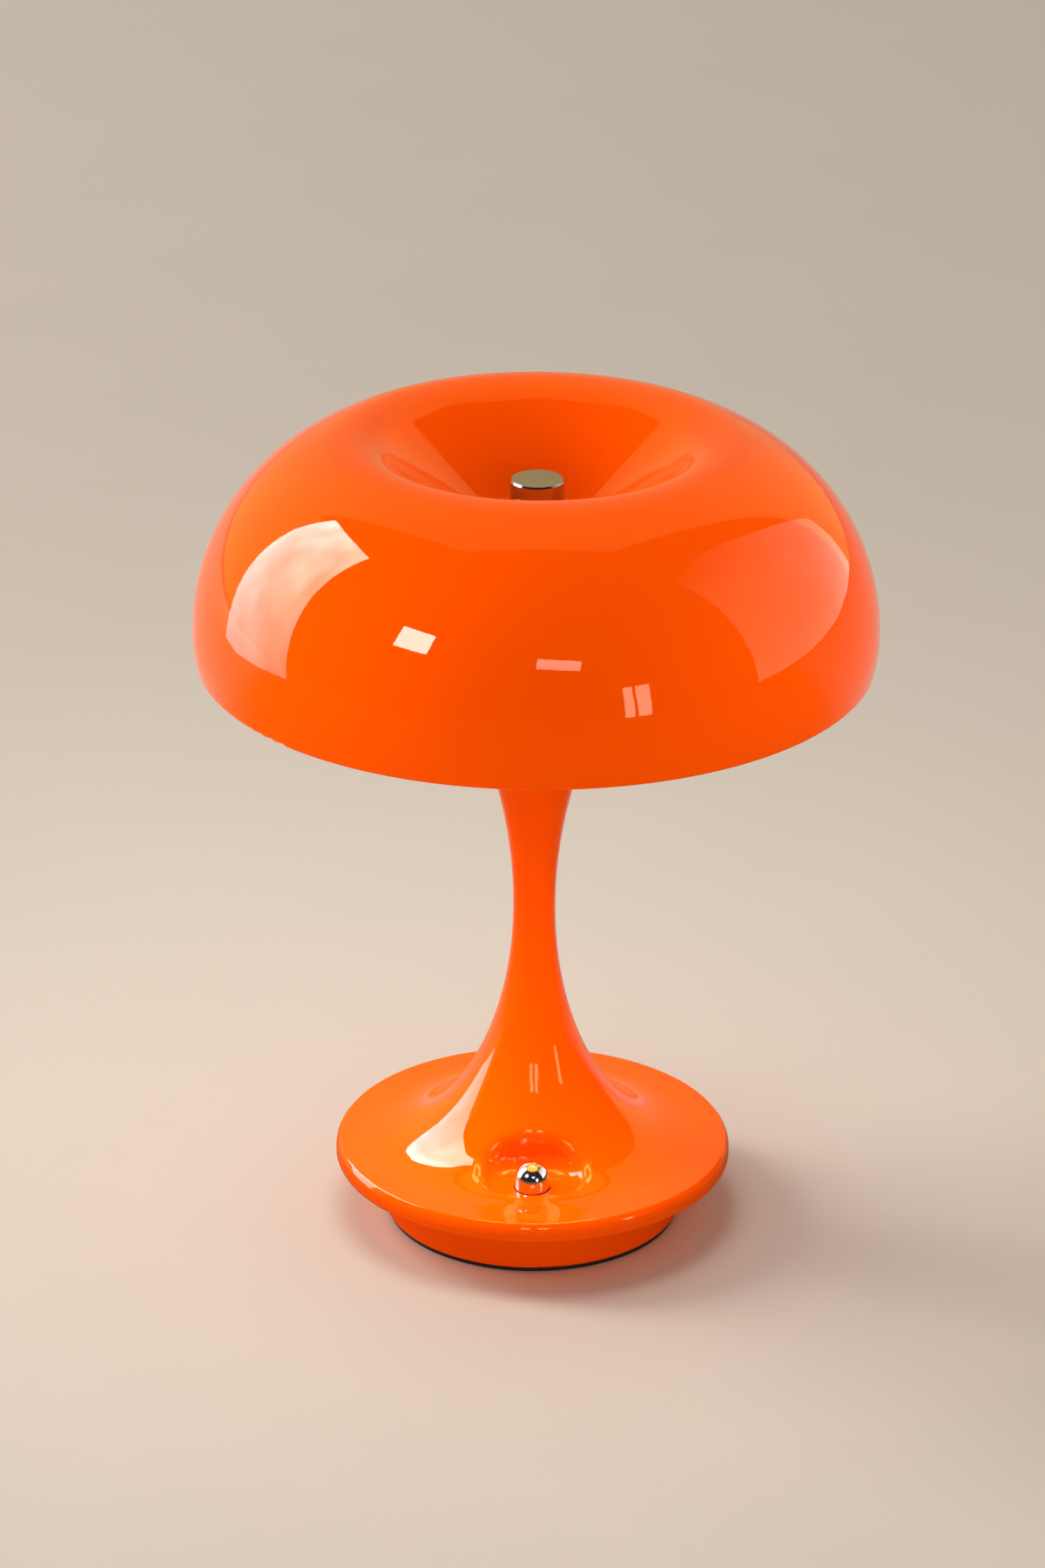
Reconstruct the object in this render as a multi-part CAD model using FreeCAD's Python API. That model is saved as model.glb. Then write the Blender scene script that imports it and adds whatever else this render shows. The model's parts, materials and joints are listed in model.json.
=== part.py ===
import FreeCAD, Part
import math
import os

Vector = FreeCAD.Vector

# Sizes are in millimetres. The lamp stands on z = 0 and its button faces -y.

# Shade: a body arc, a crown roll, a cone and a floor curve, spun round the lamp axis
shade_radius = 110.0
shade_hang = 11.0
shade_body_curve = 67.5
crown_radius = 60.0
crown_roll = 20.0
shade_rim_drop = 8.9
shade_rim_tuck = 1.0
shade_wall = 3.0
dimple_depth = 28.2
dimple_floor_radius = 13.4
dimple_floor_curve = 10.0
shade_hole_radius = 3.5

# Knob and what it clamps
knob_radius = 8.7
knob_height = 12.8
knob_bevel = 0.5
knob_roof = 1.2
washer_radius = 8.9
washer_thickness = 1.0
gasket_radius = 8.3
gasket_thickness = 0.6
lower_gasket_radius = 9.5
lower_gasket_thickness = 1.0
stud_radius = 2.5
stud_depth = 9.5
stud_gap = 0.3

# Post that carries the shade
post_radius = 6.0
post_flange_radius = 10.0
post_flange_thickness = 2.5
post_socket_depth = 8.0

# Light head
carrier_thickness = 3.0
carrier_plug_depth = 5.0
nut_across_flats = 13.0
nut_height = 4.0
led_board_inner = 9.0
led_board_outer = 26.0
led_board_thickness = 1.6
led_circle = 18.5
led_count = 12
led_length = 3.5
led_width = 2.8
led_height = 0.8
diffuser_radius = 29.5
diffuser_wall = 2.0
diffuser_side = 15.0
diffuser_hole = 8.2
diffuser_land = 3.3
collar_radius = 11.0
collar_height = 3.0
collar_clear = 2.5
lead_slot_height = 4.5
lead_slot_width = 4.6
lead_slot_sink = 0.5
post_gap = 1.0
led_pad_inset = 2.5

# Stem and dish
neck_radius = 6.9
neck_height = 110.0
flare_curve = 164.0
stem_top = 197.0
stem_wall = 2.2
foot_flare_margin = 5.6
dish_top = 26.0
dish_radius = 65.5
dish_rim_height = 6.8
rim_edge_round = 0.8
rim_edge_angle = 45.0
rim_bulge = 4.5
rim_round_low = 1.6
web_height = 40.0
web_thickness = 2.5

# Tie tube
tube_radius = 4.0
tube_bore = 2.8
tube_tail = 0.7
tie_washer_radius = 9.0
tie_washer_thickness = 1.5

# Button
button_inset = 6.5
pad_rise = 1.0
recess_half_width = 18.3
recess_back = 12.4
recess_front = 14.0
recess_corner = 13.0
recess_land = 1.0
recess_round = 6.0
recess_lip_round = 6.0
cap_radius = 5.7
cap_straight = 3.2
cap_sink = 0.5
cap_gap = 0.35
cap_bore = 4.3
cap_seat_depth = 2.3
pin_radius = 2.0
pin_hold = 2.5
bush_radius = 3.0
bush_flange_radius = 3.8
bush_flange_thickness = 0.8
pad_floor = 2.4
clip_radius = 3.4
clip_thickness = 0.6
clip_groove = 0.5
button_travel = 1.2
spring_radius = 3.3
spring_wire = 0.3
spring_turns = 4.0

# Drum and foot
plinth_radius = 49.2
plinth_wall = 2.2
plinth_round = 0.8
plinth_flange_width = 9.8
plinth_flange_thickness = 2.0
boss_drop = 1.8
foot_thickness = 1.5
foot_margin = 1.0
foot_width = 3.1
plate_thickness = 1.5
column_inset = 4.8
column_radius = 3.2
flange_screw_inset = 4.8
ballast_clear = 2.9
ballast_top_radius = 23.0
ballast_side = 6.5
ballast_gap = 1.0

# Battery and boards
cell_length = 50.0
cell_width = 34.0
cell_height = 8.0
cell_round = 3.0
tray_floor = 1.0
tray_wall = 1.2
tray_lip = 5.0
cell_offset = 2.0
board_thickness = 1.6
control_board_height = 9.4
control_board_gap = 3.2
charge_board_height = 6.4
charge_board_width = 22.0
charge_board_depth = 17.0
charge_board_back = 2.4
switch_width = 7.0
switch_height = 5.0
plunger_radius = 1.3
plunger_inside = 2.5
plunger_show = 0.8
usb_width = 8.94
usb_height = 3.2
usb_length = 7.4
usb_sheet = 0.3
usb_setback = 1.0
tongue_thickness = 0.7
bezel_margin = 1.5
bezel_depth = 2.6
lead_radius = 0.7
lead_bend = 2.2
lead_spread = 1.2
lead_lift = 1.2
lead_end_inset = 2.5
cell_lead_x = 20.0
cell_lead_inset = 6.0
charge_lead_x = 9.0
charge_lead_inset = 1.0

# Parts on the boards, placed from the control board's straight edge and the charge board's middle
post_spread = 16.0
post_row = 5.0
middle_post_row = 10.0
charge_post_spread = 8.2
charge_post_row = 5.5
driver_size = 5.0
driver_height = 1.2
driver_x = 9.0
driver_row = 14.0
coil_size = 6.0
coil_height = 3.0
coil_x = 11.8
coil_row = 14.5
capacitor_radius = 2.5
capacitor_height = 4.5
capacitor_x = 6.0
capacitor_row = 5.0
plug_width = 6.0
plug_depth = 4.0
plug_height = 3.2
plug_x = 6.0
plug_row = 9.0
charge_chip_size = 4.0
charge_chip_height = 1.0
charge_chip_x = 6.0
charge_chip_row = 1.0
charge_box_width = 5.0
charge_box_depth = 4.0
charge_box_height = 2.0
charge_box_row = 4.0

# Clearances
running = 0.05
seat_gap = 0.02
body_gap = 0.3
side_gap = 0.6

# Small screws
screw_shank = 1.0
screw_head = 2.3
screw_head_height = 1.2
screw_length = 8.0
flange_screw_length = 6.0
board_screw_head = 1.9
board_screw_length = 5.5
board_post_radius = 2.4


def point(radius, height):
    return Vector(radius, 0, height)


def line(start, end):
    return Part.LineSegment(start, end).toShape()


def arc_round(centre, radius, start_angle, end_angle):
    def on_arc(angle):
        turn = math.radians(angle)
        return centre + Vector(radius * math.cos(turn), 0, radius * math.sin(turn))
    middle = (start_angle + end_angle) / 2
    return Part.Arc(on_arc(start_angle), on_arc(middle), on_arc(end_angle)).toShape()


def quarter_ellipse(centre, first, second):
    far, near = first, second
    if centre.distanceToPoint(second) > centre.distanceToPoint(first):
        far, near = second, first
    return Part.ArcOfEllipse(Part.Ellipse(far, near, centre), 0, math.pi / 2).toShape()


def spin(edges, x=0, y=0):
    face = Part.Face(Part.Wire(Part.__sortEdges__(edges)))
    solid = face.revolve(Vector(0, 0, 0), Vector(0, 0, 1), 360)
    solid.translate(Vector(x, y, 0))
    return solid


def outline(points):
    ends = points[1:] + points[:1]
    return [line(point(*start), point(*end)) for start, end in zip(points, ends)]


def disc(radius, low, high, x=0, y=0):
    return Part.makeCylinder(radius, high - low, Vector(x, y, low))


def ring(inner, outer, low, high, x=0, y=0):
    return disc(outer, low, high, x, y).cut(disc(inner, low, high, x, y))


def block(x_size, y_size, low, high, x=0, y=0):
    return Part.makeBox(x_size, y_size, high - low, Vector(x - x_size / 2, y - y_size / 2, low))


def hexagon(across_flats, low, high):
    corner = across_flats / math.sqrt(3)
    turns = [math.radians(60 * step) for step in range(7)]
    ends = [Vector(corner * math.cos(turn), corner * math.sin(turn), low) for turn in turns]
    return Part.Face(Part.makePolygon(ends)).extrude(Vector(0, 0, high - low))


def on_circle(radius, angle):
    turn = math.radians(angle)
    return radius * math.cos(turn), radius * math.sin(turn)


def corner_arc(start, corner, end):
    middle = (start + end) * 0.5
    reach = corner.distanceToPoint(start)
    rise = corner.distanceToPoint(middle)
    half_chord = start.distanceToPoint(middle)
    depth = reach * reach / rise - reach * half_chord / rise
    top = corner + (middle - corner).normalize() * depth
    return Part.Arc(start, top, end).toShape()


def bent_path(points, bend):
    edges = []
    start = points[0]
    for corner, after in zip(points[1:-1], points[2:]):
        towards = (corner - start).normalize()
        away = (after - corner).normalize()
        cut = bend * math.tan(towards.getAngle(away) / 2)
        edges.append(line(start, corner - towards * cut))
        edges.append(corner_arc(corner - towards * cut, corner, corner + away * cut))
        start = corner + away * cut
    edges.append(line(start, points[-1]))
    return edges


def coil_path(radius, turns, low, high, x, y):
    steps = int(round(turns * 4))
    rise = (high - low) / steps
    slope = rise / (math.pi / 2)

    def place(step):
        turn = step * math.pi / 2
        return Vector(x + radius * math.cos(turn), y + radius * math.sin(turn), low + rise * step)

    def heading(step):
        turn = step * math.pi / 2
        return Vector(-radius * math.sin(turn), radius * math.cos(turn), slope).normalize()

    edges = []
    for step in range(steps):
        start, end = place(step), place(step + 1)
        leave, arrive = heading(step), heading(step + 1)
        span = end - start
        both = leave + arrive
        square = both.dot(both) - 4
        along = span.dot(both)
        reach = (along - math.sqrt(along * along - square * span.dot(span))) / square
        first, last = start + leave * reach, end - arrive * reach
        joint = (first + last) * 0.5
        edges.append(corner_arc(start, first, joint))
        edges.append(corner_arc(joint, last, end))
    return edges


def sweep(edges, radius):
    path = Part.Wire(edges)
    first = edges[0]
    heading = first.tangentAt(first.FirstParameter)
    section = Part.Wire(Part.Circle(first.valueAt(first.FirstParameter), heading, radius).toShape())
    return path.makePipeShell([section], True, False)


def slot_bar(width, height, back, front, level):
    side = height / 2
    along = Vector(0, 1, 0)
    reach = width / 2 - side
    bar = Part.makeBox(2 * reach, front - back, height, Vector(-reach, back, level - side))
    left = Part.makeCylinder(side, front - back, Vector(-reach, back, level), along)
    right = Part.makeCylinder(side, front - back, Vector(reach, back, level), along)
    return bar.fuse([left, right]).removeSplitter()


def screw(x, y, seat, head_down, length, head, head_height):
    if head_down:
        cap = disc(head, seat - head_height, seat, x, y)
        cross_low, cross_high = seat - head_height, seat - head_height / 2
        shank = disc(screw_shank, seat, seat + length, x, y)
    else:
        cap = disc(head, seat, seat + head_height, x, y)
        cross_low, cross_high = seat + head_height / 2, seat + head_height
        shank = disc(screw_shank, seat - length, seat, x, y)
    cross = block(head * 1.3, head * 0.3, cross_low, cross_high, x, y)
    cross = cross.fuse(block(head * 0.3, head * 1.3, cross_low, cross_high, x, y))
    return cap.cut(cross).fuse(shank).removeSplitter()


def save(name, shape):
    shape.exportStep("parts/" + name + ".step")


os.makedirs("parts", exist_ok=True)

# Circles and rows that follow the drum
plinth_inner = plinth_radius - plinth_wall
foot_flare_radius = plinth_radius + foot_flare_margin
plinth_flange_inner = plinth_inner - plinth_flange_width
button_distance = plinth_inner - button_inset
column_circle = plinth_inner - column_inset
flange_screw_circle = plinth_inner - flange_screw_inset
foot_outer = plinth_radius - foot_margin
foot_inner = foot_outer - foot_width

# Heights of the shade and its fixing
shade_belly_height = stem_top + shade_hang
body_centre = point(shade_radius - shade_body_curve, shade_belly_height)
crown_turn = math.acos((crown_radius - body_centre.x) / (shade_body_curve - crown_roll))
crown_centre_height = shade_belly_height + (shade_body_curve - crown_roll) * math.sin(crown_turn)
crown_centre = point(crown_radius, crown_centre_height)
crown_top = crown_centre_height + crown_roll
dimple_floor = crown_top - dimple_depth
washer_base = dimple_floor + gasket_thickness
knob_base = washer_base + washer_thickness
knob_top = knob_base + knob_height
post_top = dimple_floor - shade_wall - lower_gasket_thickness
stud_top = knob_top - knob_roof - stud_gap

# Shade
floor_centre = point(dimple_floor_radius, dimple_floor + dimple_floor_curve)
between = crown_centre - floor_centre
cone_slope = math.atan2(between.z, between.x) + math.asin((crown_roll + dimple_floor_curve) / between.Length)
cone_angle = math.degrees(cone_slope)
rim_curve = (shade_rim_tuck ** 2 + shade_rim_drop ** 2) / (2 * shade_rim_tuck)
rim_centre = point(shade_radius - rim_curve, shade_belly_height)
rim_angle = math.degrees(math.asin(shade_rim_drop / rim_curve))


def shade_side(inset):
    body = arc_round(body_centre, shade_body_curve - inset, 0, math.degrees(crown_turn))
    crown = arc_round(crown_centre, crown_roll - inset, math.degrees(crown_turn), 90 + cone_angle)
    bowl = arc_round(floor_centre, dimple_floor_curve + inset, cone_angle - 90, -90)
    cone = line(crown.Vertexes[-1].Point, bowl.Vertexes[0].Point)
    floor = line(bowl.Vertexes[-1].Point, point(shade_hole_radius, dimple_floor - inset))
    rim = arc_round(rim_centre, rim_curve - inset, 0, -rim_angle)
    return [rim, body, crown, cone, bowl, floor]


shade_outside = shade_side(0)
shade_inside = shade_side(shade_wall)
lip_outer = shade_outside[0].Vertexes[-1].Point
lip_inner = shade_inside[0].Vertexes[-1].Point
lip_turn = math.radians(rim_angle)
lip_down = Vector(-math.sin(lip_turn), 0, -math.cos(lip_turn)) * (shade_wall / 2)
lip = Part.Arc(lip_outer, (lip_outer + lip_inner) * 0.5 + lip_down, lip_inner).toShape()
hole = line(point(shade_hole_radius, dimple_floor), point(shade_hole_radius, dimple_floor - shade_wall))
shade = spin(shade_outside + shade_inside + [lip, hole])
save("shade", shade)

# Knob, washer, gaskets and stud
stud_hole = stud_radius + running
loose_hole = stud_radius + body_gap
knob = spin(outline([
    (stud_hole, knob_base),
    (knob_radius - knob_bevel, knob_base),
    (knob_radius, knob_base + knob_bevel),
    (knob_radius, knob_top - knob_bevel),
    (knob_radius - knob_bevel, knob_top),
    (0, knob_top),
    (0, knob_top - knob_roof),
    (stud_hole, knob_top - knob_roof),
]))
save("finial_knob", knob)
save("knob_washer", ring(loose_hole, washer_radius, washer_base, knob_base))
save("shade_gasket_upper", ring(loose_hole, gasket_radius, dimple_floor, washer_base))
save("shade_gasket_lower", ring(loose_hole, lower_gasket_radius, post_top, post_top + lower_gasket_thickness))
save("shade_stud", disc(stud_radius, post_top - stud_depth, stud_top))

# Heights of the light head
carrier_top = stem_top + carrier_thickness
led_board_top = carrier_top + led_board_thickness
lead_slot_base = carrier_top + nut_height - lead_slot_sink
lead_level = lead_slot_base + lead_slot_height / 2
post_base = lead_slot_base + lead_slot_height + post_gap
tube_top = post_base + post_socket_depth
diffuser_top = post_top - post_flange_thickness - collar_clear - collar_height

# Post
post = spin(outline([
    (0, post_base + post_socket_depth),
    (tube_radius + seat_gap, post_base + post_socket_depth),
    (tube_radius + seat_gap, post_base),
    (post_radius, post_base),
    (post_radius, post_top - post_flange_thickness),
    (post_flange_radius, post_top - post_flange_thickness),
    (post_flange_radius, post_top),
    (stud_radius + seat_gap, post_top),
    (stud_radius + seat_gap, post_top - stud_depth),
    (0, post_top - stud_depth),
]))
save("shade_post", post)

# Stem and dish
flare_centre = point(neck_radius + flare_curve, neck_height)
foot_centre = point(foot_flare_radius, neck_height)
rim_low = dish_top - dish_rim_height
edge_turn = math.radians(rim_edge_angle)
bulge_step = rim_bulge - rim_edge_round
bulge_height = dish_top - rim_edge_round - bulge_step * math.sin(edge_turn)
bulge_centre = point(dish_radius - rim_bulge, bulge_height)
edge_centre = point(bulge_centre.x + bulge_step * math.cos(edge_turn), dish_top - rim_edge_round)


def flare_radius(height, inset):
    reach = flare_curve + inset
    return flare_centre.x - math.sqrt(reach ** 2 - (height - neck_height) ** 2)


def foot_wall(height, inset):
    reach = foot_flare_radius - neck_radius + inset
    rise = neck_height - dish_top + inset
    return foot_flare_radius - reach * math.sqrt(1 - ((neck_height - height) / rise) ** 2)


def stem_side(inset):
    top_radius = flare_radius(stem_top, inset)
    middle_height = (stem_top + neck_height) / 2
    middle = point(flare_radius(middle_height, inset), middle_height)
    neck = point(neck_radius - inset, neck_height)
    flare = Part.Arc(point(top_radius, stem_top), middle, neck).toShape()
    foot = quarter_ellipse(foot_centre, point(foot_flare_radius, dish_top - inset), neck)
    return [flare, foot]


def stem_fill(inset):
    under = dish_top - inset
    edge = edge_centre.x - inset
    closing = [
        line(point(foot_flare_radius, under), point(edge, under)),
        line(point(edge, under), point(edge, rim_low)),
        line(point(edge, rim_low), point(0, rim_low)),
        line(point(0, rim_low), point(0, stem_top)),
        line(point(0, stem_top), point(flare_radius(stem_top, inset), stem_top)),
    ]
    return spin(stem_side(inset) + closing)


dish_under = dish_top - stem_wall
skirt_inner = dish_radius - stem_wall
rim_low_centre = point(dish_radius - rim_round_low, rim_low + rim_round_low)
stem_edges = stem_side(0) + stem_side(stem_wall) + [
    line(point(foot_flare_radius, dish_top), point(edge_centre.x, dish_top)),
    arc_round(edge_centre, rim_edge_round, 90, rim_edge_angle),
    arc_round(bulge_centre, rim_bulge, rim_edge_angle, 0),
    line(point(dish_radius, bulge_height), point(dish_radius, rim_low + rim_round_low)),
    arc_round(rim_low_centre, rim_round_low, 0, -90),
    line(point(dish_radius - rim_round_low, rim_low), point(skirt_inner, rim_low)),
    line(point(skirt_inner, rim_low), point(skirt_inner, dish_under)),
    line(point(skirt_inner, dish_under), point(foot_flare_radius, dish_under)),
    line(point(flare_radius(stem_top, stem_wall), stem_top), point(flare_radius(stem_top, 0), stem_top)),
]
stem_shell = spin(stem_edges)

# Button seat: a thumb recess in the flare with a thickened floor under it
button_y = -button_distance
pad = dish_top + pad_rise
cap_seat = pad - cap_seat_depth
bush_top = cap_seat
bush_low = cap_seat - pad_floor
recess_top = neck_height


def seat_room(margin, low, high):
    width = 2 * (recess_half_width + margin)
    depth = recess_back + recess_front + 2 * margin
    room = block(width, depth, low, high, 0, button_y + (recess_back - recess_front) / 2)
    corner = min(recess_corner, (recess_back + recess_front - recess_land) / 2)
    return room.makeFillet(corner + margin, [edge for edge in room.Edges if edge.BoundBox.ZLength > 1])


recess = seat_room(0, pad, recess_top)
recess = recess.makeFillet(recess_round, [edge for edge in recess.Edges if edge.BoundBox.ZMax < pad + 1])
seat_fill = seat_room(stem_wall, pad - stem_wall, recess_top)
seat_fill = seat_fill.fuse(disc(cap_radius + cap_gap + stem_wall, bush_low, pad, 0, button_y))

# Web, bosses and holes of the stem
plinth_top = dish_under - boss_drop
web = disc(dish_radius, web_height, web_height + web_thickness)
boss_angles = [20, 160, 200, 340]
bosses = []
boss_holes = []
for angle in boss_angles:
    x, y = on_circle(flange_screw_circle, angle)
    bosses.append(disc(column_radius, plinth_top, web_height, x, y))
    hole_top = plinth_top - plinth_flange_thickness + flange_screw_length + body_gap
    boss_holes.append(disc(screw_shank + seat_gap, plinth_top, hole_top, x, y))
core = stem_fill(stem_wall / 2)
inside = core.common(web.fuse(bosses + [seat_fill]))
stem = stem_shell.fuse(inside).cut(recess)
outside = stem_fill(0)


def on_lip(edge):
    middle = Part.Vertex(edge.valueAt((edge.FirstParameter + edge.LastParameter) / 2))
    in_recess = middle.distToShape(recess.Shells[0])[0]
    in_flare = middle.distToShape(outside.Shells[0])[0]
    return max(in_recess, in_flare) < 0.001 and middle.Point.z > pad + pad_rise / 2


stem = stem.makeFillet(recess_lip_round, [edge for edge in stem.Edges if on_lip(edge)])
tube_hole = disc(tube_radius + seat_gap, web_height - 1, web_height + web_thickness + 1)
cap_hole = disc(cap_radius + cap_gap, cap_seat, recess_top, 0, button_y)
bush_hole = disc(bush_radius + seat_gap, bush_low, cap_seat, 0, button_y)
stem = stem.cut([tube_hole, cap_hole, bush_hole] + boss_holes).removeSplitter()
save("stem_body", stem)

# Light head
plug_radius = flare_radius(stem_top - carrier_plug_depth, stem_wall) - body_gap
carrier = spin(outline([
    (tube_radius + seat_gap, stem_top - carrier_plug_depth),
    (plug_radius, stem_top - carrier_plug_depth),
    (plug_radius, stem_top),
    (flare_radius(stem_top, 0), stem_top),
    (flare_radius(stem_top, 0), carrier_top),
    (tube_radius + seat_gap, carrier_top),
]))
save("led_carrier", carrier)
nut_hole = tube_radius + seat_gap
upper_nut = hexagon(nut_across_flats, carrier_top, carrier_top + nut_height)
save("tie_nut_upper", upper_nut.cut(disc(nut_hole, carrier_top, carrier_top + nut_height)))
save("led_board", ring(led_board_inner, led_board_outer, carrier_top, led_board_top))
chips = []
for number in range(led_count):
    chip = block(led_width, led_length, led_board_top, led_board_top + led_height, led_circle)
    chip.rotate(Vector(0, 0, 0), Vector(0, 0, 1), (number + 0.5) * 360 / led_count)
    chips.append(chip)
save("led_chips", Part.makeCompound(chips))
land = diffuser_hole + diffuser_land
bell_base = carrier_top + diffuser_side
bell_centre = point(land, bell_base)


def bell_side(inset):
    side = point(diffuser_radius - inset, bell_base)
    top = point(land, diffuser_top - inset)
    return [
        line(point(diffuser_radius - inset, carrier_top), side),
        quarter_ellipse(bell_centre, top, side),
        line(top, point(diffuser_hole, diffuser_top - inset)),
    ]


bell_ends = [
    line(point(diffuser_radius, carrier_top), point(diffuser_radius - diffuser_wall, carrier_top)),
    line(point(diffuser_hole, diffuser_top), point(diffuser_hole, diffuser_top - diffuser_wall)),
]
save("light_diffuser", spin(bell_side(0) + bell_side(diffuser_wall) + bell_ends))
save("diffuser_collar", ring(post_radius + seat_gap, collar_radius, diffuser_top, diffuser_top + collar_height))

# Ballast, tie tube and its lower nut
ballast_base = plinth_top + ballast_gap
tie_washer_base = ballast_base - tie_washer_thickness
lower_nut_base = tie_washer_base - nut_height
tube_base = lower_nut_base - tube_tail
ballast_radius = foot_wall(ballast_base + ballast_side, stem_wall) - ballast_clear
ballast = spin(outline([
    (tube_radius + body_gap, ballast_base),
    (ballast_radius, ballast_base),
    (ballast_radius, ballast_base + ballast_side),
    (ballast_top_radius, web_height),
    (tube_radius + body_gap, web_height),
]))
boss_rooms = [disc(column_radius + side_gap, ballast_base, web_height, *on_circle(flange_screw_circle, angle))
              for angle in boss_angles]
save("ballast", ballast.cut([seat_room(stem_wall + side_gap, ballast_base, web_height)] + boss_rooms))
save("tie_washer", ring(tube_radius + body_gap, tie_washer_radius, tie_washer_base, ballast_base))
lower_nut = hexagon(nut_across_flats, lower_nut_base, tie_washer_base)
save("tie_nut_lower", lower_nut.cut(disc(nut_hole, lower_nut_base, tie_washer_base)))
tube = ring(tube_bore, tube_radius, tube_base, tube_top)
slot_top = lead_slot_base + lead_slot_height
lead_slot = block(lead_slot_width, 2 * tube_radius, lead_slot_base, slot_top, 0, -tube_radius)
save("tie_tube", tube.cut(lead_slot))

# Drum
plinth_base = foot_thickness
plate_top = plinth_base + plate_thickness
flange_low = plinth_top - plinth_flange_thickness
plinth = spin([
    line(point(plinth_inner, plinth_base), point(plinth_radius - plinth_round, plinth_base)),
    arc_round(point(plinth_radius - plinth_round, plinth_base + plinth_round), plinth_round, -90, 0),
    line(point(plinth_radius, plinth_base + plinth_round), point(plinth_radius, plinth_top)),
    line(point(plinth_radius, plinth_top), point(plinth_flange_inner, plinth_top)),
    line(point(plinth_flange_inner, plinth_top), point(plinth_flange_inner, flange_low)),
    line(point(plinth_flange_inner, flange_low), point(plinth_inner, flange_low)),
    line(point(plinth_inner, flange_low), point(plinth_inner, plinth_base)),
])
column_angles = [45, 135, 225, 315]
columns = []
column_holes = []
plate_holes = []
plate_screws = []
for angle in column_angles:
    x, y = on_circle(column_circle, angle)
    rib = block(plinth_inner - column_circle + 1, column_radius, plate_top, flange_low + 1)
    rib.translate(Vector((plinth_inner + column_circle + 1) / 2, 0, 0))
    rib.rotate(Vector(0, 0, 0), Vector(0, 0, 1), angle)
    columns.append(disc(column_radius, plate_top, flange_low + 1, x, y).fuse(rib))
    column_holes.append(disc(screw_shank + seat_gap, plate_top, plate_top + screw_length, x, y))
    plate_holes.append(disc(screw_shank + body_gap, plinth_base, plate_top, x, y))
    plate_screws.append(screw(x, y, plinth_base, True, screw_length, screw_head, screw_head_height))
flange_holes = []
flange_screws = []
for angle in boss_angles:
    x, y = on_circle(flange_screw_circle, angle)
    flange_holes.append(disc(screw_shank + body_gap, flange_low, plinth_top, x, y))
    flange_screws.append(screw(x, y, flange_low, True, flange_screw_length, screw_head, screw_head_height))
pin_notch = disc(bush_flange_radius + body_gap, flange_low, plinth_top, 0, button_y)
pin_notch = pin_notch.common(disc(plinth_inner, flange_low, plinth_top))
usb_level = charge_board_height + board_thickness + usb_height / 2
bezel_width = usb_width + 2 * bezel_margin
bezel_height = usb_height + 2 * bezel_margin
port = slot_bar(bezel_width, bezel_height, plinth_inner - bezel_depth, plinth_radius + 1, usb_level)
plinth = plinth.fuse(columns).cut(column_holes + flange_holes + [pin_notch, port]).removeSplitter()
save("plinth", plinth)
save("plate_screws", Part.makeCompound(plate_screws))
save("flange_screws", Part.makeCompound(flange_screws))
plate = disc(plinth_inner - side_gap / 3, plinth_base, plate_top)
save("bottom_plate", plate.cut(plate_holes))
foot = ring(foot_inner, foot_outer, 0, foot_thickness)
save("foot_ring", foot)

# Inlet
port_front = plinth_radius - usb_setback
port_back = port_front - usb_length
bezel_bar = slot_bar(bezel_width - 2 * seat_gap, bezel_height - 2 * seat_gap, plinth_inner - bezel_depth,
                     plinth_radius + 1, usb_level)
bezel_slot = slot_bar(usb_width + 2 * running, usb_height + 2 * running, plinth_inner - bezel_depth - 1,
                      plinth_radius + 2, usb_level)
bezel_face = disc(plinth_radius, 0, plinth_top)
save("port_bezel", bezel_bar.common(bezel_face).cut(bezel_slot))
shell_outside = slot_bar(usb_width, usb_height, port_back, port_front, usb_level)
shell_inside = slot_bar(usb_width - 2 * usb_sheet, usb_height - 2 * usb_sheet, port_back + 1, port_front, usb_level)
save("usb_shell", shell_outside.cut(shell_inside))
tongue_width = usb_width * 0.75
tongue_low = usb_level - tongue_thickness / 2
tongue = Part.makeBox(tongue_width, usb_length - 2, tongue_thickness, Vector(-tongue_width / 2, port_back + 1, tongue_low))
save("usb_tongue", tongue)

# Battery
tray_length = cell_length + 2 * (tray_wall + side_gap)
tray_width = cell_width + 2 * (tray_wall + side_gap)
cell_base = plate_top + tray_floor
tray = block(tray_length, tray_width, plate_top, cell_base + tray_lip, 0, cell_offset)
hollow = block(tray_length - 2 * tray_wall, tray_width - 2 * tray_wall, cell_base, cell_base + tray_lip, 0, cell_offset)
save("battery_tray", tray.cut(hollow))
cell = block(cell_length, cell_width, cell_base, cell_base + cell_height, 0, cell_offset)
upright = [edge for edge in cell.Edges if abs(edge.Vertexes[0].Z - edge.Vertexes[1].Z) > cell_height / 2]
save("battery_cell", cell.makeFillet(cell_round, upright))
cell_top = cell_base + cell_height

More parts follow.
